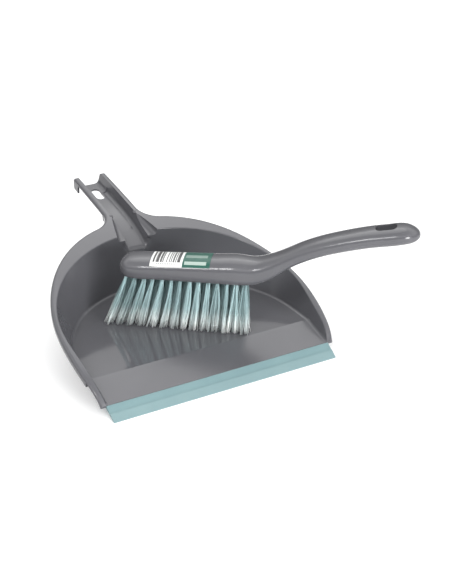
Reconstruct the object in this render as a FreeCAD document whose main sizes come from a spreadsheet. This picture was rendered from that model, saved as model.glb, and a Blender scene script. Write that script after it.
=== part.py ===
import FreeCAD, Part
import math
import os

# Dust pan and hand brush, millimetres, +Z up.
# The pan is symmetric about the plane x = 0. Its soft lip rests on the ground along y = 0 and the
# handle points along +Y. The brush lies across the pan with its bristles on the floor of the pan.

V = FreeCAD.Vector

DIMENSIONS = {
    # front edge and lip
    "lip_half_width": 125.0,
    "lip_rest_width": 3.0,
    "lip_wall": 2.2,
    "lip_tip_height": 0.8,
    "lip_step": 0.5,
    "lip_overlap": 11.0,
    "edge_y": 15.0,
    "edge_z": 10.4,
    "edge_half_width": 126.2,
    # floor and walls
    "crease_y": 54.0,
    "floor_z": 18.75,
    "sheet_wall": 2.2,
    "arc_centre_y": 79.5,
    "arc_half_width": 124.3,
    "arc_depth": 132.0,
    "side_flare": 3.7,
    "side_lean": 0.36,
    "back_lean": 0.02,
    "floor_round": 3.0,
    # rim
    "rim_half_width": 140.5,
    "rim_depth": 158.0,
    "rim_centre_y": 82.0,
    "rim_front_half_width": 132.0,
    "rim_wall": 2.2,
    "rim_lap": 0.5,
    "rim_round": 3.4,
    "rim_inner_round": 1.2,
    "handle_corner": 1.5,
    "skirt_depth": 6.5,
    "skirt_wall": 2.0,
    "handle_skirt_extra": 5.5,
    "handle_skirt_min": 3.9,
    "relief_start_y": 261.0,
    "relief_end_y": 333.0,
    "relief_slant": 5.0,
    "skirt_front_y": 37.0,
    # handle
    "handle_half_width": 21.6,
    "handle_end_half_width": 20.2,
    "handle_end_y": 346.6,
    "neck_round": 26.0,
    "trough_centre_x": 6.0,
    "trough_round": 6.0,
    "trough_lean": 0.3,
    "pocket_centre_x": 8.0,
    "pocket_round": 4.0,
    "pocket_lean": 0.1,
    "pocket_end_y": 322.0,
    "flare_lean": 0.1,
    "flare_start_y": 254.0,
    "flare_start_z": 94.0,
    "flare_start_half": 13.6,
    "flare_end_y": 206.0,
    "flare_end_z": 75.4,
    "flare_end_half": 24.6,
    "flare_round": 7.0,
    "mouth_round": 8.0,
    "hang_slot_y": 321.3,
    "hang_slot_length": 25.0,
    "hang_slot_width": 10.0,
    "nub_x": 14.6,
    "nub_y": 250.0,
    "nub_z": 92.6,
    "nub_radius": 2.4,
    # feet below the floor
    "foot_width": 5.0,
    "foot_length": 52.0,
    "side_foot_x": 88.0,
    "side_foot_y": 125.0,
    "rear_foot_y": 188.0,
    # brush place
    "brush_x": 9.5,
    "brush_y": 107.8,
    "brush_yaw": -38.0,
    # brush body
    "head_start": -71.5,
    "head_width": 38.0,
    "head_base_z": 74.4,
    "tuft_plane_z": 75.0,
    "head_height_start": 20.0,
    "head_height_end": 27.0,
    "head_end": 66.0,
    "nose_length": 15.0,
    "grip_start": 54.0,
    "grip_blend": 50.0,
    "grip_width": 30.0,
    "grip_end_width": 34.0,
    "grip_height": 17.0,
    "grip_end_height": 18.0,
    "grip_end": 205.0,
    "brush_end": 234.5,
    "tip_length": 21.0,
    "grip_slot_place": 200.5,
    "grip_slot_length": 21.0,
    "grip_slot_width": 14.0,
    "grip_slot_round": 5.0,
    # tufts
    "tuft_pitch": 9.6,
    "row_pitch": 7.4,
    "tuft_radius": 2.15,
    "tuft_tip_radius": 3.3,
    "tuft_depth": 6.7,
    "tuft_gap": 0.3,
    "hole_radius": 2.3,
    "hole_depth": 9.0,
    "lean_min": 4.0,
    "lean_span": 21.0,
    "row_splay": 0.12,
    "anchor_length": 4.3,
    "anchor_height": 2.0,
    "anchor_wall": 0.5,
    "anchor_gap": 0.2,
    # label
    "label_start": -36.5,
    "label_end": 26.0,
    "label_front": -17.0,
    "label_back": 11.5,
    "label_wall": 0.25,
}

# Height of the rim's top along the pan: (y, z), from the front edge to the handle's end.
RIM_LINE = [(20.9, 18.6), (40, 30.3), (85, 47), (150, 66), (225, 89), (280, 99.2), (352, 108.6)]

# Height of the trough's floor along the handle, from inside the pan to past the handle's end.
TROUGH_LINE = [(200, 59.5), (212, 65.6), (238, 77), (262, 83.6), (300, 89.4), (352, 95.6)]

# Height of the brush handle's axis along the brush, from the end of the head to the tip.
GRIP_LINE = [(84, 92.4), (104, 103.6), (130, 116.6), (160, 126.6), (190, 133.9), (215, 137.8), (236, 139)]

# Share of the way along the rounded nose or tip at which its sections stand.
END_SHARES = [0.01, 0.06, 0.17, 0.36, 0.64]

HEAD_STATIONS = [-30, 0, 30, 54]
GRIP_STATIONS = [70, 86, 102, 120, 140, 165, 190, 205]
HEAD_FLATNESS = 4
GRIP_FLATNESS = 2.4

COLUMNS = 14
ROWS = 4
SPAN = 400.0
TALL = 130.0
FRONT_Y = -30.0
GROUND_SIZE = 60.0

doc = FreeCAD.newDocument("dust_pan_set")
sheet = doc.addObject("Spreadsheet::Sheet", "Dims")
for row, (alias, value) in enumerate(DIMENSIONS.items(), start=1):
    sheet.set(f"A{row}", alias)
    sheet.set(f"B{row}", str(value))
    sheet.setAlias(f"B{row}", alias)
doc.recompute()


def dim(alias):
    return float(sheet.get(alias))


def bind(obj, **expressions):
    for prop, text in expressions.items():
        obj.setExpression(prop, text)
    return obj


def feature(name, shape):
    obj = doc.addObject("Part::Feature", name)
    obj.Shape = shape
    return obj


def loft(name, wires, ruled):
    obj = doc.addObject("Part::Loft", name)
    obj.Sections = [feature(f"{name}_section_{i}", wire) for i, wire in enumerate(wires)]
    obj.Solid = True
    obj.Ruled = ruled
    return obj


def extrusion(name, face, direction, length):
    obj = doc.addObject("Part::Extrusion", name)
    obj.Base = feature(f"{name}_outline", face)
    obj.DirMode = "Custom"
    obj.Dir = direction
    obj.LengthFwd = length
    obj.Solid = True
    return obj


def cut(name, base, tool):
    obj = doc.addObject("Part::Cut", name)
    obj.Base = base
    obj.Tool = tool
    return obj


def common(name, *shapes):
    obj = doc.addObject("Part::MultiCommon", name)
    obj.Shapes = list(shapes)
    return obj


def fuse(name, *shapes):
    obj = doc.addObject("Part::MultiFuse", name)
    obj.Shapes = list(shapes)
    obj.Refine = True
    return obj


def curve(points):
    spline = Part.BSplineCurve()
    spline.interpolate([V(*p) for p in points])
    return spline.toShape()


def line(start, end):
    return Part.makeLine(V(*start), V(*end))


def side_face(points):
    """A closed outline in the YZ plane, at the low end of the span."""
    corners = [V(-SPAN / 2, y, z) for y, z in points]
    return Part.Face(Part.makePolygon(corners + corners[:1]))


# ---------------------------------------------------------------------------------------- pan

def tub_wire(z, grow):
    """The D-shaped plan of the pan at one height: flaring sides and an elliptical back."""
    rise = z - dim("floor_z")
    half = dim("arc_half_width") + dim("side_lean") * rise + grow
    depth = dim("arc_depth") + dim("back_lean") * rise + grow
    centre = dim("arc_centre_y")
    reach = centre - dim("edge_y")
    right = []
    for step in range(6, 0, -1):
        y = centre + (FRONT_Y - centre) * step / 6
        right.append((half + dim("side_flare") * ((centre - y) / reach) ** 2, y, z))
    back = []
    for step in range(17):
        turn = math.pi * step / 16
        back.append((half * math.cos(turn), centre + depth * math.sin(turn), z))
    left = [(-x, y, z) for x, y, z in reversed(right)]
    outline = right + back + left
    return Part.Wire([curve(outline), line(outline[-1], outline[0])])


def rim_wire(inset):
    """Plan of the rim's outer edge without the handle."""
    half = dim("rim_half_width") - inset
    depth = dim("rim_depth") - inset
    centre = dim("rim_centre_y")
    front = dim("edge_y")
    narrow = dim("rim_half_width") - dim("rim_front_half_width")
    right = []
    for step in range(4, 0, -1):
        y = centre + (front - centre) * step / 4
        right.append((half - narrow * (step / 4) ** 2, y, 0))
    back = []
    for step in range(17):
        turn = math.pi * step / 16
        back.append((half * math.cos(turn), centre + depth * math.sin(turn), 0))
    left = [(-x, y, z) for x, y, z in reversed(right)]
    outline = right + back + left
    return Part.Wire([curve(outline), line(outline[-1], outline[0])])


def rim_plan(name, inset, end_y):
    """Rim and handle plan as one upright solid, with the concave neck blends."""
    start_y = dim("rim_centre_y")
    run = (end_y - start_y) / (dim("handle_end_y") - start_y)
    end_half = dim("handle_half_width") - inset
    end_half += (dim("handle_end_half_width") - dim("handle_half_width")) * run
    half = dim("handle_half_width") - inset
    strip = [(-half, start_y), (half, start_y), (end_half, end_y), (-end_half, end_y)]
    corners = [V(x, y, 0) for x, y in strip]
    bar = Part.Face(Part.makePolygon(corners + corners[:1]))
    bow = Part.Face(rim_wire(inset))
    plan = bow.fuse(bar).removeSplitter()
    solid = plan.Faces[0].extrude(V(0, 0, TALL))
    upright = [e for e in solid.Edges if e.BoundBox.ZLength > TALL / 2 and e.BoundBox.XMax < 2 * half]
    upright = [e for e in upright if e.BoundBox.XMin > -2 * half]
    neck = [e for e in upright if start_y + 20 < e.BoundBox.YMin < end_y - 20]
    shaped = solid.makeFillet(dim("neck_round") + inset, neck)
    corners = [e for e in shaped.Edges if e.BoundBox.ZLength > TALL / 2 and e.BoundBox.YMin > end_y - 1]
    return feature(name, shaped.makeFillet(dim("handle_corner"), corners))


def rim_line(drop, handle_drop=0):
    """The rim's line lowered by drop, and along the handle by handle_drop more."""
    points = [(dim("edge_y"), dim("edge_z"))] + RIM_LINE
    extra = [handle_drop if y > dim("nub_y") else 0 for y, z in points]
    return [(-SPAN / 2, y, z - drop - more) for (y, z), more in zip(points, extra)]


def below_rim(name, top_drop, low_points):
    """Everything under the rim's line, lowered by top_drop, down to low_points."""
    top = rim_line(top_drop)
    low = [(-SPAN / 2, y, z) for y, z in low_points]
    chain = [top[-1]] + low + [top[0]]
    edges = [curve(top)] + [line(a, b) for a, b in zip(chain, chain[1:])]
    return extrusion(name, Part.Face(Part.Wire(edges)), V(1, 0, 0), SPAN)


def rim_layer(name, depth):
    """A layer that follows the rim's line, deeper along the handle."""
    top = rim_line(0)
    low = rim_line(depth, dim("handle_skirt_extra"))
    edges = [curve(top), line(top[-1], low[-1]), curve(low), line(low[0], top[0])]
    return extrusion(name, Part.Face(Part.Wire(edges)), V(1, 0, 0), SPAN)


def ramp_slope():
    return (dim("floor_z") - dim("edge_z")) / (dim("crease_y") - dim("edge_y"))


end_y = dim("handle_end_y")
wall = dim("sheet_wall")
past_end = RIM_LINE[-1][0]

cavity = loft("cavity", [tub_wire(-10, 0), tub_wire(TALL, 0)], True)
tub_outer = loft("tub_outer", [tub_wire(-10, wall), tub_wire(TALL, wall)], True)

floor_under = dim("floor_z") - wall
edge_under = dim("edge_z") - wall
shell_side = below_rim(
    "shell_side",
    dim("rim_wall") - dim("rim_lap"),
    [(past_end, floor_under), (dim("crease_y"), floor_under), (dim("edge_y"), edge_under)],
)
floor_side = extrusion(
    "floor_side",
    side_face([
        (dim("edge_y"), edge_under),
        (dim("crease_y"), floor_under),
        (past_end, floor_under),
        (past_end, dim("floor_z")),
        (dim("crease_y"), dim("floor_z")),
        (dim("edge_y"), dim("edge_z")),
    ]),
    V(1, 0, 0),
    SPAN,
)
room_side = extrusion(
    "room_side",
    side_face([
        (FRONT_Y, dim("edge_z") - ramp_slope() * (dim("edge_y") - FRONT_Y)),
        (dim("crease_y"), dim("floor_z")),
        (past_end, dim("floor_z")),
        (past_end, TALL),
        (FRONT_Y, TALL),
    ]),
    V(1, 0, 0),
    SPAN,
)
tub_block = common("tub_block", tub_outer, shell_side)
room_sharp = common("room_sharp", cavity, room_side)
doc.recompute()

foot_edges = [
    e for e in room_sharp.Shape.Edges
    if e.BoundBox.ZMax < dim("floor_z") + 0.01 and e.BoundBox.YLength > 20
]
room = feature("room", room_sharp.Shape.makeFillet(dim("floor_round"), foot_edges))
tub = fuse("tub", cut("walls", tub_block, room), common("floor_plate", tub_outer, floor_side))

rim_outline = rim_plan("rim_outline", 0, end_y)
rim_band = rim_layer("rim_band", dim("skirt_depth"))
rim_ring = cut("rim_ring", common("rim_plate", rim_outline, rim_band), cavity)
doc.recompute()


def top_edges(solid):
    """The edges along the rim's upper face, without its front ends and the handle's end."""
    wide = max(face.Area for face in solid.Faces) / 2
    upper = max((face for face in solid.Faces if face.Area > wide), key=lambda face: face.CenterOfMass.z)
    return [e for e in upper.Edges if e.BoundBox.YLength > 8]


def inner_edge(edge):
    """True for the rim's edge over the pan's room, which is the one that stays clear of the handle."""
    return edge.BoundBox.YMax < dim("arc_centre_y") + dim("arc_depth") + 5 and edge.BoundBox.XLength > 100


ring_solid = rim_ring.Shape.Solids[0]
outer = [e for e in top_edges(ring_solid) if not inner_edge(e)]
half_round = ring_solid.makeFillet(dim("rim_round"), outer)
inner = [e for e in half_round.Edges if inner_edge(e) and e.BoundBox.ZMin > dim("edge_z") - 1]
rim_round = feature("rim_round", half_round.makeFillet(dim("rim_inner_round"), inner))
hollow_outline = rim_plan("hollow_outline", dim("skirt_wall"), end_y - dim("skirt_wall"))
under_plate = below_rim("under_plate", dim("rim_wall"), [(past_end, -20), (dim("edge_y"), -20)])
rim_hollow = common("rim_hollow", hollow_outline, under_plate)
front_relief = doc.addObject("Part::Box", "front_relief")
front_relief.Length = SPAN
front_relief.Height = TALL
front_relief.Placement.Base = V(-SPAN / 2, 0, -20)
bind(front_relief, Width="Dims.skirt_front_y")
front_cut = common("front_cut", front_relief, under_plate)
rim_full = cut("rim_full", cut("rim_hollowed", rim_round, rim_hollow), front_cut)

# Between the neck and the handle's end only a shallow skirt is left.
relief_low = RIM_LINE[0][1]
slant = dim("relief_slant")
relief_side = extrusion(
    "relief_side",
    side_face([
        (dim("relief_start_y") - slant, relief_low),
        (dim("relief_end_y") + slant / 2, relief_low),
        (dim("relief_end_y") + slant / 2, RIM_LINE[3][1]),
        (dim("relief_end_y") - slant / 2, TALL),
        (dim("relief_start_y") + slant, TALL),
        (dim("relief_start_y") - slant, RIM_LINE[3][1]),
    ]),
    V(1, 0, 0),
    SPAN,
)
relief_under = below_rim("relief_under", dim("handle_skirt_min"), [(past_end, -20), (dim("edge_y"), -20)])
rim = cut("rim", rim_full, common("handle_relief", relief_side, relief_under))


def trough_wire(y, floor, grow, centre_x, base_round, lean):
    """U section of the handle's trough, or of its outside when grown by the wall."""
    radius = base_round + grow
    centre_z = floor + base_round
    side_turn = -math.atan(lean)
    mid_turn = (side_turn - math.pi / 2) / 2
    top = floor + 45

    def on_round(turn):
        return (centre_x + radius * math.cos(turn), centre_z + radius * math.sin(turn))

    side = on_round(side_turn)
    middle = on_round(mid_turn)
    base = on_round(-math.pi / 2)
    brim = (side[0] + lean * (top - side[1]), top)

    def right(p):
        return V(p[0], y, p[1])

    def left(p):
        return V(-p[0], y, p[1])

    return Part.Wire([
        Part.makeLine(right(brim), right(side)),
        Part.Arc(right(side), right(middle), right(base)).toShape(),
        Part.makeLine(right(base), left(base)),
        Part.Arc(left(base), left(middle), left(side)).toShape(),
        Part.makeLine(left(side), left(brim)),
        Part.makeLine(left(brim), right(brim)),
    ])


def flare_wire(y, floor, half, grow):
    """Wide section above the trough, which opens it towards the pan."""
    rise = 40
    low = half + grow
    high = low + dim("flare_lean") * rise
    outline = [(-low, floor - grow), (low, floor - grow), (high, floor + rise), (-high, floor + rise)]
    corners = [V(x, y, z) for x, z in outline]
    return Part.makePolygon(corners + corners[:1])


def flare_wires(grow):
    return [
        flare_wire(dim("flare_start_y"), dim("flare_start_z"), dim("flare_start_half"), grow),
        flare_wire(dim("flare_end_y"), dim("flare_end_z"), dim("flare_end_half"), grow),
    ]


def long_base_edges(shape, limit):
    return [e for e in shape.Edges if e.Length > 40 and e.BoundBox.ZMax < limit]


def trough_wires(grow):
    shape = (dim("trough_centre_x"), dim("trough_round"), dim("trough_lean"))
    return [trough_wire(y, z, grow, *shape) for y, z in TROUGH_LINE]


def pocket_wires(grow):
    """The squarer stretch of the trough between its mouth and the thicker end of the handle."""
    shape = (dim("pocket_centre_x"), dim("pocket_round"), dim("pocket_lean"))
    stretch = TROUGH_LINE[:-1]
    (y1, z1), (y2, z2) = TROUGH_LINE[-2:]
    end = dim("pocket_end_y") + grow
    stretch.append((end, z1 + (z2 - z1) * (end - y1) / (y2 - y1)))
    return [trough_wire(y, z, grow, *shape) for y, z in stretch]


trough_room = loft("trough_room", trough_wires(0), False)
trough_skin = loft("trough_skin", trough_wires(wall), False)
pocket_room = loft("pocket_room", pocket_wires(0), False)
pocket_skin = loft("pocket_skin", pocket_wires(wall), False)
flare_sharp = loft("flare_sharp", flare_wires(0), True)
flare_skin = loft("flare_skin", flare_wires(wall), True)
doc.recompute()
flare_low = long_base_edges(flare_sharp.Shape, dim("flare_start_z") + 1)
flare_room = feature("flare_room", flare_sharp.Shape.makeFillet(dim("flare_round"), flare_low))
trough_outside = fuse("trough_outside", trough_skin, pocket_skin, flare_skin)
handle_reach = doc.addObject("Part::Box", "handle_reach")
handle_reach.Length = SPAN
handle_reach.Height = TALL
handle_reach.Placement.Base = V(-SPAN / 2, 0, 0)
bind(handle_reach, Width="Dims.handle_end_y")
trough_block = common("trough_block", trough_outside, shell_side, handle_reach)
trough = cut("trough", trough_block, cavity)

half_slot = dim("hang_slot_width") / 2
slot_reach = dim("hang_slot_length") / 2 - half_slot


def obround(name, half_width, reach, turn_z):
    """Upright obround prism centred on the Z axis, long side along X turned by turn_z degrees."""
    a = V(-reach, -half_width, 0)
    b = V(reach, -half_width, 0)
    c = V(reach, half_width, 0)
    d = V(-reach, half_width, 0)
    edges = [
        Part.makeLine(a, b),
        Part.Arc(b, V(reach + half_width, 0, 0), c).toShape(),
        Part.makeLine(c, d),
        Part.Arc(d, V(-reach - half_width, 0, 0), a).toShape(),
    ]
    face = Part.Face(Part.Wire(edges))
    obj = extrusion(name, face, V(0, 0, 1), TALL)
    obj.Placement.Rotation = FreeCAD.Rotation(V(0, 0, 1), turn_z)
    return obj


hang_slot = obround("hang_slot", half_slot, slot_reach, 90)
hang_slot.Placement.Base.z = 40
bind(hang_slot, **{"Placement.Base.y": "Dims.hang_slot_y"})

nubs = []
for side in (-1, 1):
    nub = doc.addObject("Part::Sphere", "nub")
    nub.Placement.Base = V(side * dim("nub_x"), dim("nub_y"), dim("nub_z"))
    bind(nub, Radius="Dims.nub_radius")
    nubs.append(nub)

foot_half = dim("foot_width") / 2
feet = []
for name, turn_z, x, y in [
    ("rear_foot", 0, 0, dim("rear_foot_y")),
    ("left_foot", 90, -dim("side_foot_x"), dim("side_foot_y")),
    ("right_foot", 90, dim("side_foot_x"), dim("side_foot_y")),
]:
    foot = obround(name, foot_half, dim("foot_length") / 2 - foot_half, turn_z)
    foot.Placement.Base = V(x, y, 0)
    bind(foot, LengthFwd="Dims.floor_z - Dims.sheet_wall / 2")
    feet.append(foot)

moulding = fuse("moulding", tub, rim, trough, *feet)
voids = fuse("voids", trough_room, pocket_room, flare_room, hang_slot)
pan_open = cut("pan_open", moulding, voids)
doc.recompute()


def mouth_edges(solid):
    """The base of the trough's mouth, where it opens through the pan's back wall."""
    front = dim("flare_end_y")
    back = dim("arc_centre_y") + dim("arc_depth") + dim("mouth_round") / 2
    under = dim("floor_z") + 20
    over = dim("flare_end_z") - 8
    near = [e for e in solid.Edges if front < e.BoundBox.YMax < back]
    base = [e for e in near if under < e.BoundBox.ZMax < over]
    return [e for e in base if e.BoundBox.XLength > 1.8 * dim("trough_centre_x")]


open_solid = pan_open.Shape.Solids[0]
pan_round = feature("pan_round", open_solid.makeFillet(dim("mouth_round"), mouth_edges(open_solid)))
pan = fuse("pan_body", pan_round, *nubs)

# ---------------------------------------------------------------------------------------- lip

def lip_section():
    """Two-facet lip that grips the front of the ramp from below."""
    edge_y = dim("edge_y")
    edge_z = dim("edge_z")
    slope = ramp_slope()
    front = -dim("lip_rest_width") / 2
    back = edge_y + dim("lip_overlap")
    under = edge_z - dim("sheet_wall")
    lip_wall = dim("lip_wall")
    mid_y = (front + edge_y) / 2
    mid_z = edge_z * 0.5
    return side_face([
        (front, 0),
        (front, dim("lip_tip_height")),
        (mid_y, mid_z + dim("lip_step")),
        (mid_y + dim("lip_step"), mid_z),
        (edge_y, edge_z - dim("lip_step")),
        (edge_y, under),
        (back, under + slope * dim("lip_overlap")),
        (back, under + slope * dim("lip_overlap") - lip_wall),
        (edge_y, under - lip_wall),
        (-front, 0),
    ])


lip_bar = extrusion("lip_bar", lip_section(), V(1, 0, 0), SPAN)
lip_half = dim("lip_half_width")
lip_ends = [(-lip_half, -2), (lip_half, -2), (dim("edge_half_width"), 30), (-dim("edge_half_width"), 30)]
lip_corners = [V(x, y, -1) for x, y in lip_ends]
lip_plan = extrusion("lip_plan", Part.Face(Part.makePolygon(lip_corners + lip_corners[:1])), V(0, 0, 1), 30)
lip = common("lip_strip", lip_bar, lip_plan)

# --------------------------------------------------------------------------------------- brush

brush_place = FreeCAD.Placement(
    V(dim("brush_x"), dim("brush_y"), 0),
    FreeCAD.Rotation(V(0, 0, 1), dim("brush_yaw")),
)


def blend(low, high, share):
    return low + (high - low) * share


def oval_wire(place, axis_z, tangent, width, height, flatness, grow):
    """Closed section across the brush: a rounded top and a bottom as flat as flatness says."""
    across = V(0, 1, 0)
    up = tangent.cross(across) * -1
    if up.z < 0:
        up = up * -1
    centre = V(place, 0, axis_z)
    points = []
    for step in range(24):
        turn = 2 * math.pi * step / 24
        power = 2 / (flatness if math.sin(turn) < 0 else 2.5)
        c = math.cos(turn)
        s = math.sin(turn)
        side = math.copysign(abs(c) ** power, c) * (width / 2 + grow)
        rise = math.copysign(abs(s) ** power, s) * (height / 2 + grow)
        points.append(centre + across * side + up * rise)
    spline = Part.BSplineCurve()
    spline.interpolate(points, PeriodicFlag=True)
    return Part.Wire(spline.toShape())


def head_height(place):
    share = (place - dim("head_start")) / (dim("head_end") - dim("head_start"))
    return blend(dim("head_height_start"), dim("head_height_end"), share)


def round_scale(share):
    """Size of a rounded end's section, a share of its length in from the very end."""
    return math.sqrt(1 - (1 - share) ** 2)


def head_sections(grow):
    """Sections of the brush's head, from its rounded nose to where the handle begins."""
    wires = []
    for share in END_SHARES + [1.0]:
        place = dim("head_start") + dim("nose_length") * share
        full = head_height(place)
        size = (dim("head_width") * round_scale(share), full * round_scale(share))
        axis_z = dim("head_base_z") + full / 2
        wires.append(oval_wire(place, axis_z, V(1, 0, 0), *size, HEAD_FLATNESS, grow))
    for place in HEAD_STATIONS:
        full = head_height(place)
        size = (dim("head_width"), full)
        axis_z = dim("head_base_z") + full / 2
        wires.append(oval_wire(place, axis_z, V(1, 0, 0), *size, HEAD_FLATNESS, grow))
    return wires


def grip_sections(grow):
    """Sections square to the handle's S, from the head to the handle's rounded tip."""
    wires = []
    start = dim("grip_start")
    start_height = head_height(start)
    axis_line = [(start, dim("head_base_z") + start_height / 2)] + GRIP_LINE
    path = Part.BSplineCurve()
    path.interpolate([V(x, 0, z) for x, z in axis_line])
    for place in GRIP_STATIONS:
        point = path.intersectCC(Part.Line(V(place, 0, 0), V(place, 0, 10)))[0]
        axis = V(point.X, point.Y, point.Z)
        tangent = path.tangent(path.parameter(axis))[0]
        share = min(1, (place - start) / dim("grip_blend"))
        blend_end = start + dim("grip_blend")
        along = max(0, (place - blend_end) / (dim("grip_end") - blend_end))
        width = blend(dim("head_width"), blend(dim("grip_width"), dim("grip_end_width"), along), share)
        height = blend(start_height, blend(dim("grip_height"), dim("grip_end_height"), along), share ** 1.4)
        flatness = blend(HEAD_FLATNESS, GRIP_FLATNESS, share)
        wires.append(oval_wire(place, axis.z, tangent, width, height, flatness, grow))
    tip_z = GRIP_LINE[-1][1]
    for share in reversed(END_SHARES):
        place = dim("brush_end") - dim("tip_length") * share
        size = (dim("grip_end_width") * round_scale(share), dim("grip_end_height") * round_scale(share))
        wires.append(oval_wire(place, tip_z, V(1, 0, 0), *size, GRIP_FLATNESS, grow))
    return wires


def body_sections(grow):
    return head_sections(grow) + grip_sections(grow)


brush_skin = loft("brush_skin", body_sections(0), False)
label_skin = loft("label_skin", body_sections(dim("label_wall")), False)
base_box = doc.addObject("Part::Box", "base_box")
base_box.Length = SPAN
base_box.Width = SPAN
base_box.Placement.Base = V(-SPAN / 2, -SPAN / 2, 0)
bind(base_box, Height="Dims.tuft_plane_z")
brush_flat = cut("brush_flat", brush_skin, base_box)

roots = []
row_count = [COLUMNS, COLUMNS - 1, COLUMNS, COLUMNS - 1]
for row in range(ROWS):
    across = (row - (ROWS - 1) / 2) * dim("row_pitch")
    for column in range(row_count[row]):
        along = (column - (row_count[row] - 1) / 2) * dim("tuft_pitch")
        roots.append((row, column, along, across))

holes = []
for row, column, along, across in roots:
    hole = doc.addObject("Part::Cylinder", "hole")
    hole.Placement.Base = V(along, across, 0)
    bind(hole, Radius="Dims.hole_radius", Height="Dims.tuft_plane_z + Dims.hole_depth")
    holes.append(hole)
hole_set = doc.addObject("Part::Compound", "hole_set")
hole_set.Links = holes
slot_block = doc.addObject("Part::Box", "slot_block")
slot_block.Height = TALL
bind(slot_block, Length="Dims.grip_slot_length", Width="Dims.grip_slot_width")
doc.recompute()
upright = [e for e in slot_block.Shape.Edges if e.BoundBox.ZLength > 1]
grip_slot = feature("grip_slot", slot_block.Shape.makeFillet(dim("grip_slot_round"), upright))
grip_slot.Placement.Base = V(
    dim("grip_slot_place") - dim("grip_slot_length") / 2,
    -dim("grip_slot_width") / 2,
    dim("tuft_plane_z") + dim("head_height_end"),
)
brush = cut("brush_body", cut("brush_slotted", brush_flat, grip_slot), hole_set)

label_box = doc.addObject("Part::Box", "label_box")
label_box.Height = TALL
bind(
    label_box,
    Length="Dims.label_end - Dims.label_start",
    Width="Dims.label_back - Dims.label_front",
    **{
        "Placement.Base.x": "Dims.label_start",
        "Placement.Base.y": "Dims.label_front",
        "Placement.Base.z": "Dims.tuft_plane_z + Dims.hole_depth",
    },
)
label = cut("brush_label", common("label_patch", label_skin, label_box), brush_skin)

anchors = []
for row, column, along, across in roots:
    anchor = doc.addObject("Part::Box", "anchor")
    anchor.Placement.Base = V(along - dim("anchor_wall") / 2, across - dim("anchor_length") / 2, 0)
    anchor.Placement.Base.z = dim("tuft_plane_z") + dim("tuft_depth") + dim("anchor_gap")
    bind(anchor, Length="Dims.anchor_wall", Width="Dims.anchor_length", Height="Dims.anchor_height")
    anchors.append(anchor)
anchor_set = doc.addObject("Part::Compound", "tuft_anchors")
anchor_set.Links = anchors


def tuft(name, along, across):
    """One bundle of bristles: an upright root in its hole, then a leaning, widening brush of filaments."""
    free = dim("tuft_plane_z") - dim("floor_z") - dim("tuft_gap")
    half_field = (COLUMNS - 1) / 2 * dim("tuft_pitch")
    share = (half_field - along) / (2 * half_field)
    lean = dim("lean_min") + dim("lean_span") * share ** 1.6
    splay = across * dim("row_splay")
    mouth = V(along, across, dim("tuft_plane_z"))
    tip = V(along - free * math.tan(math.radians(lean)), across + splay, dim("tuft_plane_z") - free)
    root = doc.addObject("Part::Cylinder", "root")
    root.Placement.Base = mouth
    bind(root, Radius="Dims.tuft_radius", Height="Dims.tuft_depth")
    knee = doc.addObject("Part::Sphere", "knee")
    knee.Placement.Base = mouth
    bind(knee, Radius="Dims.tuft_radius")
    bundle = doc.addObject("Part::Cone", "bundle")
    bundle.Placement = FreeCAD.Placement(mouth, FreeCAD.Rotation(V(0, 0, 1), tip - mouth))
    bundle.Height = (tip - mouth).Length * 1.1
    bind(bundle, Radius1="Dims.tuft_radius", Radius2="Dims.tuft_tip_radius")
    ground = doc.addObject("Part::Box", "ground")
    ground.Length = GROUND_SIZE
    ground.Width = GROUND_SIZE
    ground.Height = GROUND_SIZE
    ground.Placement.Base = tip - V(GROUND_SIZE / 2, GROUND_SIZE / 2, GROUND_SIZE)
    return cut(name, fuse("leaning", root, knee, bundle), ground)


tufts = []
for row, column, along, across in roots:
    tufts.append(tuft(f"tuft_{row + 1}_{column + 1:02d}", along, across))

doc.recompute()

nodes = {
    "pan_body": pan,
    "lip_strip": lip,
    "brush_body": brush,
    "brush_label": label,
    "tuft_anchors": anchor_set,
}
for bundle in tufts:
    nodes[bundle.Name] = bundle
for name, obj in nodes.items():
    obj.Label = name
    if obj not in (pan, lip):
        obj.Placement = brush_place.multiply(obj.Placement)
doc.recompute()

for obj in doc.Objects:
    if "Invalid" in obj.State or "Error" in obj.State:
        raise RuntimeError(f"{obj.Name} did not build: {obj.State}")
for name, obj in nodes.items():
    if obj.Shape.isNull() or not obj.Shape.isValid():
        raise RuntimeError(f"{name} has no valid shape")

os.makedirs("parts", exist_ok=True)
for name, obj in nodes.items():
    obj.Shape.exportStep(f"parts/{name}.step")
    box = obj.Shape.BoundBox
    if not name.startswith("tuft_"):
        print(name, len(obj.Shape.Solids), round(obj.Shape.Volume), box)
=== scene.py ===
"""Looks of the dust pan and hand brush: moulded plastic, soft lip, printed label and real filaments."""
import math

import bpy
import numpy as np
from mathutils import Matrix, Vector


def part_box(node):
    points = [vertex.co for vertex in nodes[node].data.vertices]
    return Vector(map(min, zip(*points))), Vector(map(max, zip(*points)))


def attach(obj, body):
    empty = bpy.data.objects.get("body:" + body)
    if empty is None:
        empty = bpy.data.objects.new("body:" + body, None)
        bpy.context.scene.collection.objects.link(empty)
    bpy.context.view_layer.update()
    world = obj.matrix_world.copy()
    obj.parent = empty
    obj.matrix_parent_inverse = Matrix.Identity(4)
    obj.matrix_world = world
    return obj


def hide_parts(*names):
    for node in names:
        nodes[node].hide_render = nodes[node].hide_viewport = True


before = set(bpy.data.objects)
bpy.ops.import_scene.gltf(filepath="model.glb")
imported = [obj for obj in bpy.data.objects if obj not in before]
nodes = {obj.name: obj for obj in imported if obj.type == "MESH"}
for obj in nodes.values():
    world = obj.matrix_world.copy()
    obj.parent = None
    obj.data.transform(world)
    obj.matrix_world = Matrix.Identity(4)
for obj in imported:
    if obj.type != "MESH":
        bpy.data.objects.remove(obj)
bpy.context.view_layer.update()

scene = bpy.context.scene

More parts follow.
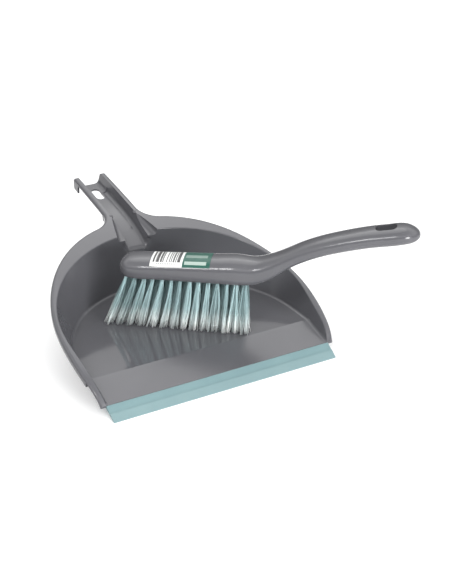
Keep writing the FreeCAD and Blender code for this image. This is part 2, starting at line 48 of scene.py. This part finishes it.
# Lengths are in metres. The brush's own frame: its origin, and the turn of its head towards the handle.
BRUSH_ORIGIN = (0.0095, 0.1078, 0)
BRUSH_YAW = math.radians(-38)

# Heights: the crease between the pan's front ramp and its floor, the band over which the polished floor
# gives way to the walls, and the line where the lip's upper facet meets its lower one.
RAMP_TOP = 0.0187
POLISHED = (0.02, 0.03)
LIP_MIDDLE = 0.0055


# ------------------------------------------------------------------------------- materials

class Shader:
    """A material's node tree, with short calls for the nodes that this scene uses."""

    def __init__(self, name):
        self.material = bpy.data.materials.new(name)
        self.material.use_nodes = True
        self.tree = self.material.node_tree
        self.surface = self.tree.nodes["Principled BSDF"]
        self.position = self.add("ShaderNodeTexCoord").outputs["Object"]

    def add(self, kind, **settings):
        node = self.tree.nodes.new(kind)
        for key, value in settings.items():
            setattr(node, key, value)
        return node

    def link(self, source, target):
        self.tree.links.new(source, target)

    def feed(self, value, target):
        """Links a socket to the target, or sets the target to a plain value."""
        if hasattr(value, "is_linked"):
            self.link(value, target)
        else:
            target.default_value = value

    def math(self, operation, a, b=0.0):
        node = self.add("ShaderNodeMath", operation=operation)
        for value, socket in zip((a, b), node.inputs):
            self.feed(value, socket)
        return node.outputs[0]

    def noise(self, scale, detail=3.0, roughness=0.5):
        node = self.add("ShaderNodeTexNoise")
        self.link(self.position, node.inputs["Vector"])
        node.inputs["Scale"].default_value = scale
        node.inputs["Detail"].default_value = detail
        node.inputs["Roughness"].default_value = roughness
        return node.outputs["Fac"]

    def ramp(self, factor, *stops):
        """Blends colours or greys between (place, colour) stops."""
        node = self.add("ShaderNodeValToRGB")
        self.link(factor, node.inputs["Fac"])
        elements = node.color_ramp.elements
        while len(elements) < len(stops):
            elements.new(0.5)
        for element, (place, colour) in zip(elements, stops):
            element.position = place
            element.color = (*colour, 1)
        return node.outputs["Color"]

    def mix(self, factor, a, b, blend="MIX"):
        """Mixes colours a and b, each a socket or three numbers."""
        node = self.add("ShaderNodeMix", data_type="RGBA", blend_type=blend)
        factor_input, a_input, b_input = (node.inputs[index] for index in (0, 6, 7))
        self.feed(factor, factor_input)
        for colour, target in ((a, a_input), (b, b_input)):
            self.feed(colour if hasattr(colour, "is_linked") else (*colour, 1), target)
        return node.outputs[2]

    def scale_range(self, value, low, high, to_low, to_high):
        """Eases from to_low, where value is low, to to_high, where value is high."""
        node = self.add("ShaderNodeMapRange", interpolation_type="SMOOTHSTEP")
        self.link(value, node.inputs["Value"])
        for name, number in zip(("From Min", "From Max", "To Min", "To Max"), (low, high, to_low, to_high)):
            node.inputs[name].default_value = number
        return node.outputs["Result"]

    def split(self, vector):
        node = self.add("ShaderNodeSeparateXYZ")
        self.link(vector, node.inputs[0])
        return node.outputs

    def bump(self, height, strength, distance, normal=None):
        node = self.add("ShaderNodeBump")
        node.inputs["Strength"].default_value = strength
        node.inputs["Distance"].default_value = distance
        self.link(height, node.inputs["Height"])
        if normal:
            self.link(normal, node.inputs["Normal"])
        return node.outputs["Normal"]

    def turned(self, angle, origin):
        """Position in a frame that stands at origin and is turned about Z by angle."""
        shift = self.add("ShaderNodeVectorMath", operation="SUBTRACT")
        self.link(self.position, shift.inputs[0])
        shift.inputs[1].default_value = origin
        node = self.add("ShaderNodeMapping", vector_type="POINT")
        self.link(shift.outputs[0], node.inputs["Vector"])
        node.inputs["Rotation"].default_value = (0, 0, -angle)
        return node.outputs["Vector"]

    def set(self, name, value):
        self.feed(value, self.surface.inputs[name])


def srgb(r, g, b):
    """Linear colour of an 8-bit display colour."""
    return tuple(((c / 255 + 0.055) / 1.055) ** 2.4 if c > 10 else c / 255 / 12.92 for c in (r, g, b))


def grey_plastic(name, rough, is_pan=False):
    """Glossy injection-moulded polypropylene: faint flow marks and a very fine surface ripple.

    The pan's floor is more polished than its walls, and its front ramp is duller.
    """
    s = Shader(name)
    flow = s.noise(9, 4, 0.55)
    base = s.ramp(flow, (0.3, srgb(85, 85, 89)), (0.7, srgb(90, 90, 94)))
    speck = s.noise(1400, 2, 0.6)
    s.set("Base Color", s.mix(s.scale_range(speck, 0.3, 0.8, 0.0, 0.1), base, srgb(92, 92, 96)))
    worn = s.scale_range(s.noise(60, 5, 0.6), 0.35, 0.75, rough - 0.03, rough + 0.05)
    if is_pan:
        height = s.split(s.position)[2]
        floor_polish = s.scale_range(height, *POLISHED, 0.55, 1.0)
        ramp_skin = s.scale_range(height, RAMP_TOP, RAMP_TOP - 0.0006, 0.0, 0.14)
        worn = s.math("ADD", s.math("MULTIPLY", worn, floor_polish), ramp_skin)
    s.set("Roughness", worn)
    ripple = s.bump(s.noise(30, 2, 0.4), 0.03, 0.002)
    grain = s.bump(speck, 0.004, 0.00002, ripple)
    s.set("Normal", grain)
    s.set("IOR", 1.49)
    return s.material


def soft_rubber():
    """Pale teal thermoplastic rubber with a satin skin and slight handling marks."""
    s = Shader("soft_rubber")
    tone = s.noise(25, 4, 0.6)
    base = s.ramp(tone, (0.3, srgb(106, 134, 138)), (0.75, srgb(115, 143, 146)))
    dust = s.scale_range(s.noise(500, 4, 0.7), 0.6, 0.75, 0.0, 0.2)
    dusty = s.mix(dust, base, srgb(134, 158, 161))
    # Painted light: the lip's lower facet is made paler than its upper facet, standing in for the light
    # falling differently on the two facets.
    painted_light_lower_facet = s.scale_range(s.split(s.position)[2], LIP_MIDDLE + 0.0002, LIP_MIDDLE - 0.0002, 0.0, 0.25)
    s.set("Base Color", s.mix(painted_light_lower_facet, dusty, srgb(138, 160, 162)))
    s.set("Roughness", s.scale_range(s.noise(90, 4, 0.6), 0.3, 0.7, 0.42, 0.58))
    s.set("Normal", s.bump(s.noise(1100, 3, 0.6), 0.25, 0.00012))
    s.set("Sheen Weight", 0.08)
    s.set("IOR", 1.5)
    return s.material


def filament(tip_z, root_z):
    """Teal bristle, deeper at the root and pale at the tip, the pale tip partly a painted highlight of
    light caught by the frayed ends. Each strand has a tone of its own, with painted shade near the root in
    the inner rows.
    """
    s = Shader("filament")
    height = s.scale_range(s.split(s.position)[2], tip_z, root_z, 0.0, 1.0)
    # The near-white tip colours are partly a painted highlight, standing in for light caught by the frayed
    # ends.
    base = s.ramp(
        height,
        (0.0, srgb(246, 250, 249)),
        (0.18, srgb(226, 238, 238)),
        (0.4, srgb(188, 212, 214)),
        (1.0, srgb(172, 200, 203)),
    )
    # The strand tone attribute carries each strand's own random tone and, in the inner rows, painted shade
    # near the root.
    attribute = s.add("ShaderNodeAttribute", attribute_name="strand_tone_and_painted_shade", attribute_type="GEOMETRY")
    tone = attribute.outputs["Fac"]
    shade = s.ramp(tone, (0.0, (0.36, 0.4, 0.4)), (0.5, (0.9, 0.92, 0.92)), (1.0, (1.3, 1.28, 1.26)))
    s.set("Base Color", s.mix(1.0, base, shade, "MULTIPLY"))
    s.set("Roughness", s.scale_range(tone, 0.0, 1.0, 0.3, 0.48))
    s.set("Normal", s.bump(s.noise(3000, 2, 0.5), 0.1, 0.00005))
    return s.material


def anchor_steel():
    """Drawn steel of the tuft anchors."""
    s = Shader("anchor_steel")
    drawn = s.noise(900, 3, 0.6)
    s.set("Base Color", s.ramp(drawn, (0.3, (0.45, 0.45, 0.46)), (0.7, (0.6, 0.6, 0.61))))
    s.set("Metallic", 1.0)
    s.set("Roughness", s.scale_range(drawn, 0.3, 0.7, 0.25, 0.45))
    return s.material


def printed_label(start, end, front, back):
    """White film with plain bars and dashes beside a green panel with two pale bands.

    start to end runs along the brush and front to back across it, in the brush's frame.
    """
    s = Shader("printed_label")
    along, across, _ = s.split(s.turned(BRUSH_YAW, BRUSH_ORIGIN))
    green_from = start + (end - start) * 0.54
    paper = s.ramp(s.noise(300, 3, 0.6), (0.3, srgb(226, 228, 226)), (0.7, srgb(238, 239, 238)))

    bar_width = 0.00095
    cell = s.math("FLOOR", s.math("DIVIDE", along, bar_width))
    white = s.add("ShaderNodeTexWhiteNoise", noise_dimensions="1D")
    s.link(cell, white.inputs["W"])
    bar = s.scale_range(white.outputs["Value"], 0.2, 0.5, 0.0, 1.0)

    def between(value, low, high):
        return s.math("MULTIPLY", s.math("GREATER_THAN", value, low), s.math("LESS_THAN", value, high))

    block = s.math(
        "MULTIPLY",
        between(along, start + 0.0022, green_from - 0.0026),
        between(across, front + 0.0044, back - 0.0005),
    )
    dash_row = s.math(
        "MULTIPLY",
        between(along, start + 0.0065, green_from - 0.007),
        between(across, front + 0.0018, front + 0.0032),
    )
    dash_pitch = 0.0019
    dash = s.math("GREATER_THAN", s.math("FRACT", s.math("DIVIDE", along, dash_pitch)), 0.42)
    bars = s.math("MULTIPLY", block, bar)
    dashes = s.math("MULTIPLY", s.math("MULTIPLY", dash_row, dash), 0.7)
    white_part = s.mix(s.math("MAXIMUM", bars, dashes), paper, srgb(62, 60, 62))

    panel = s.ramp(s.noise(120, 4, 0.6), (0.3, srgb(18, 78, 66)), (0.7, srgb(24, 88, 74)))
    low_band = between(across, front + 0.002, front + 0.006)
    high_band = between(across, front + 0.0125, front + 0.0185)
    bands = s.math("ADD", low_band, s.math("MULTIPLY", high_band, 0.5))
    pale = s.math("MULTIPLY", bands, between(along, green_from + 0.002, end - 0.004))
    panel = s.mix(s.math("MULTIPLY", pale, 0.6), panel, srgb(205, 220, 212))
    s.set("Base Color", s.mix(s.math("GREATER_THAN", along, green_from), white_part, panel))
    s.set("Roughness", s.scale_range(s.noise(200, 3, 0.6), 0.3, 0.7, 0.3, 0.42))
    s.set("Normal", s.bump(s.noise(700, 2, 0.5), 0.08, 0.0001))
    return s.material


def new_object(name, vertices, faces):
    mesh = bpy.data.meshes.new(name)
    mesh.from_pydata(vertices, [], faces)
    obj = bpy.data.objects.new(name, mesh)
    scene.collection.objects.link(obj)
    return obj


def paint(obj, material):
    obj.data.materials.clear()
    obj.data.materials.append(material)


# -------------------------------------------------------------------------------- bristles

def tube(points, radii, sides):
    """Vertices and faces of one thin closed strand through points."""
    points = np.asarray(points)
    tangent = np.gradient(points, axis=0)
    tangent /= np.linalg.norm(tangent, axis=1, keepdims=True)
    side = np.cross(tangent, [0.3, 1.0, 0.1])
    side /= np.linalg.norm(side, axis=1, keepdims=True)
    other = np.cross(tangent, side)
    turn = np.arange(sides) * 2 * math.pi / sides
    ring = np.cos(turn)[None, :, None] * side[:, None] + np.sin(turn)[None, :, None] * other[:, None]
    vertices = (points[:, None] + ring * np.asarray(radii)[:, None, None]).reshape(-1, 3)
    faces = []
    for i in range(len(points) - 1):
        for k in range(sides):
            nxt = (k + 1) % sides
            faces.append((i * sides + k, i * sides + nxt, (i + 1) * sides + nxt, (i + 1) * sides + k))
    faces.append(tuple(range(sides))[::-1])
    faces.append(tuple((len(points) - 1) * sides + k for k in range(sides)))
    return vertices, faces


def tuft_axis(node):
    """Root and tip of a tuft, read from its CAD solid."""
    co = np.array([v.co for v in nodes[node].data.vertices])
    top = co[co[:, 2] > co[:, 2].max() - 0.0005]
    low = co[co[:, 2] < co[:, 2].min() + 0.0005]
    centre = (top.max(0) + top.min(0)) / 2
    foot = (low.max(0) + low.min(0)) / 2
    spread = (low[:, 0].max() - low[:, 0].min()) / 2
    return centre, foot, spread


CLUMPS = 9  # in a tuft
STRANDS = 9  # in a clump
STRAND_RADIUS = 0.00021
STRAND_SIDES = 4
STRAND_TAPER = np.array([1, 1, 1, 1, 1, 0.95, 0.85])  # radius from hole to tip, and so the number of rings
ROOT_RADIUS = 0.0017  # of a whole tuft at its hole
TUCK = 0.002  # how far strands reach into the hole
LEAN_SHARE = 0.82  # how much the strands lean, of what the CAD tuft leans
TIP_SPREAD = 1.3  # how wide a tuft flares at its tip, of the CAD tuft's width
THIN_TUFT = "tuft_1_08"  # one tuft in the front row is thinner
THIN_SPREAD = 0.7
INNER_ROWS = ("2", "3")
INNER_ROW_PAINTED_SHADE = 0.3  # painted shade: share of a strand's tone left at the root in the inner rows, darkened there as if shaded by the rows around them
CLUMP_ROOT_SHARE = 0.75  # how much of the hole the clumps' middles use
CLUMP_SCATTER = 0.0007  # of a clump's tip
CLUMP_BOW = 0.0006
CLUMP_TONES = (0.15, 0.9)
HOLE_SCATTER = 0.00035  # of a strand in its hole
FRAY, LOOSE_FRAY = 0.0007, 0.0024  # scatter of a strand's tip
WANDER, LOOSE_WANDER = 0.0003, 0.0012  # a strand's own bow
LOOSE_SHARE = 0.07  # strands that stray from their clump
SHORTFALL = 0.001  # how much shorter than the tuft a strand typically is
TONE_SCATTER = 0.12
GOLDEN_ANGLE = 2.39996  # radians


def disc_points(rng, count, reach):
    """Points spread evenly but irregularly over a disc."""
    turn = np.arange(count) * GOLDEN_ANGLE + rng.uniform(0, 6.28)
    radius = np.sqrt((np.arange(count) + 0.5) / count) * reach
    points = np.stack([np.cos(turn) * radius, np.sin(turn) * radius, np.zeros(count)], 1)
    points[:, :2] += rng.normal(0, 0.1 * reach, (count, 2))
    return points


def strand_path(rng, start, end, bow, wander):
    """A strand from the hole to its tip, with the clump's bow and a little of its own."""
    steps = np.linspace(0, 1, len(STRAND_TAPER))[:, None]
    path = start * (1 - steps) + end * steps
    own = np.append(rng.normal(0, wander, 2), 0)
    path += np.sin(steps * math.pi) * bow + np.sin(steps * math.pi * rng.uniform(0.8, 1.6)) * own
    path[0, 2] += TUCK
    return path


def bristles(node, plane_z, material, rng):
    """Clumps of strands in place of one CAD tuft: tight at the hole, flared and frayed at the tip."""
    root, tip, spread = tuft_axis(node)
    root[2] = plane_z
    tip[:2] = root[:2] + (tip[:2] - root[:2]) * LEAN_SHARE
    spread *= THIN_SPREAD if node == THIN_TUFT else TIP_SPREAD
    row = node.split("_")[1]
    painted_root_shade = INNER_ROW_PAINTED_SHADE if row in INNER_ROWS else 1.0
    all_vertices, all_faces, tones_and_painted_shade = [], [], []
    offset = 0
    for place in disc_points(rng, CLUMPS, 1.0):
        clump_tip = tip + place * spread + np.append(rng.normal(0, CLUMP_SCATTER, 2), 0)
        clump_root = root + place * ROOT_RADIUS * CLUMP_ROOT_SHARE
        bow = np.append(rng.normal(0, CLUMP_BOW, 2), 0)
        clump_tone = rng.uniform(*CLUMP_TONES)
        for _ in range(STRANDS):
            loose = rng.uniform() < LOOSE_SHARE
            fray, wander = (LOOSE_FRAY, LOOSE_WANDER) if loose else (FRAY, WANDER)
            start = clump_root + np.append(rng.normal(0, HOLE_SCATTER, 2), 0)
            end = clump_tip + np.append(rng.normal(0, fray, 2), abs(rng.normal(0, SHORTFALL)))
            path = strand_path(rng, start, end, bow, wander)
            vertices, faces = tube(path, STRAND_RADIUS * STRAND_TAPER, STRAND_SIDES)
            all_vertices.append(vertices)
            all_faces += [tuple(offset + i for i in face) for face in faces]
            offset += len(vertices)
            tone = np.clip(clump_tone + rng.normal(0, TONE_SCATTER), 0, 1)
            # Painted shade: strands of the inner rows are darkened towards the root and regain their own
            # tone at the tip.
            shade = painted_root_shade + (1 - painted_root_shade) * np.linspace(0, 1, len(path)) ** 1.5
            tones_and_painted_shade += np.repeat(tone * shade, STRAND_SIDES).tolist()
    obj = new_object(node.replace("tuft", "bristles"), np.concatenate(all_vertices).tolist(), all_faces)
    mesh = obj.data
    attribute = mesh.attributes.new("strand_tone_and_painted_shade", "FLOAT", "POINT")
    attribute.data.foreach_set("value", np.array(tones_and_painted_shade, np.float32))
    mesh.polygons.foreach_set("use_smooth", [True] * len(mesh.polygons))
    paint(obj, material)
    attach(obj, "brush")
    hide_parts(node)


# ------------------------------------------------------------------------------- the object

tuft_nodes = sorted(name for name in nodes if name.startswith("tuft_") and name != "tuft_anchors")
bristle_low = min(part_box(name)[0].z for name in tuft_nodes)
bristle_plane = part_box("brush_body")[0].z
bristle_material = filament(bristle_low, bristle_plane)
rng = np.random.default_rng(7)
for name in tuft_nodes:
    bristles(name, bristle_plane, bristle_material, rng)

paint(nodes["pan_body"], grey_plastic("pan_plastic", 0.18, is_pan=True))
paint(nodes["brush_body"], grey_plastic("brush_plastic", 0.17))
paint(nodes["lip_strip"], soft_rubber())
paint(nodes["tuft_anchors"], anchor_steel())
paint(nodes["brush_label"], printed_label(start=-0.0365, end=0.026, front=-0.017, back=0.0115))

# ------------------------------------------------------------------- floor, lights and camera

def stage_floor(reach):
    """A plain pale floor that runs out to reach on each side."""
    corners = [(-reach, -reach, 0), (reach, -reach, 0), (reach, reach, 0), (-reach, reach, 0)]
    obj = new_object("floor", corners, [(0, 1, 2, 3)])
    s = Shader("pale_floor")
    s.set("Base Color", s.ramp(s.noise(3, 2), (0.3, (0.86, 0.86, 0.86)), (0.7, (0.89, 0.89, 0.89))))
    s.set("Roughness", 0.7)
    s.set("Emission Color", (1, 1, 1, 1))
    s.set("Emission Strength", 0.15)
    paint(obj, s.material)


def stage_backdrop(radius, height, sides=32):
    """A pale wall far behind everything, seen by the camera alone, so low views have no dark horizon."""
    turns = [k * 2 * math.pi / sides for k in range(sides)]
    ring = [(radius * math.cos(turn), radius * math.sin(turn)) for turn in turns]
    corners = [(x, y, z) for z in (0, height) for x, y in ring]
    faces = [(k, (k + 1) % sides, sides + (k + 1) % sides, sides + k) for k in range(sides)]
    obj = new_object("backdrop", corners, faces)
    obj.visible_diffuse = obj.visible_glossy = obj.visible_transmission = obj.visible_shadow = False
    s = Shader("pale_backdrop")
    s.set("Base Color", (0.9, 0.9, 0.9, 1))
    s.set("Roughness", 1.0)
    s.set("Emission Color", (1, 1, 1, 1))
    s.set("Emission Strength", 1.0)
    paint(obj, s.material)


def area_light(name, place, target, size, power):
    """A round white light at place, facing target."""
    data = bpy.data.lights.new(name, "AREA")
    data.shape = "DISK"
    data.size = size
    data.energy = power
    obj = bpy.data.objects.new(name, data)
    scene.collection.objects.link(obj)
    obj.location = place
    obj.rotation_euler = (Vector(target) - Vector(place)).to_track_quat("-Z", "Y").to_euler()


def studio_world(strength):
    """A soft dome, brightest overhead and dim towards the horizon."""
    world = bpy.data.worlds.new("studio")
    world.use_nodes = True
    tree = world.node_tree
    direction = tree.nodes.new("ShaderNodeTexCoord")
    split = tree.nodes.new("ShaderNodeSeparateXYZ")
    ramp = tree.nodes.new("ShaderNodeValToRGB")
    background = tree.nodes["Background"]
    tree.links.new(direction.outputs["Generated"], split.inputs[0])
    tree.links.new(split.outputs["Z"], ramp.inputs["Fac"])
    tree.links.new(ramp.outputs["Color"], background.inputs["Color"])
    stops = [(0.0, 0.05), (0.35, 0.28), (0.6, 1.4), (0.95, 0.7)]
    while len(ramp.color_ramp.elements) < len(stops):
        ramp.color_ramp.elements.new(0.5)
    for element, (place, grey) in zip(ramp.color_ramp.elements, stops):
        element.position = place
        element.color = (grey, grey, grey, 1)
    background.inputs["Strength"].default_value = strength
    scene.world = world


def camera(azimuth, elevation, distance, target, lens):
    """Camera at an azimuth to the right of the object's front and an elevation, looking at target."""
    data = bpy.data.cameras.new("camera")
    data.lens = lens
    data.clip_start = 0.01
    obj = bpy.data.objects.new("camera", data)
    scene.collection.objects.link(obj)
    a, e = math.radians(azimuth), math.radians(elevation)
    away = Vector((math.sin(a) * math.cos(e), -math.cos(a) * math.cos(e), math.sin(e)))
    obj.location = Vector(target) + away * distance
    obj.rotation_euler = (-away).to_track_quat("-Z", "Y").to_euler()
    scene.camera = obj


stage_floor(reach=60)
stage_backdrop(radius=12, height=8)
studio_world(strength=1.25)
area_light("front", (0.2, -1.6, 0.34), (0, 0.1, 0.05), size=0.7, power=22)
area_light("key", (0.5, 1.0, 1.5), (0, 0.1, 0), size=1.3, power=5)
area_light("spark", (-1.1, -0.7, 1.4), (0.1, 0.05, 0.1), size=0.45, power=8)
camera(azimuth=-28.845, elevation=27.336, distance=1.1647, target=(0.0503, 0.0991, 0.05), lens=67.69)
scene.view_settings.view_transform = "Standard"
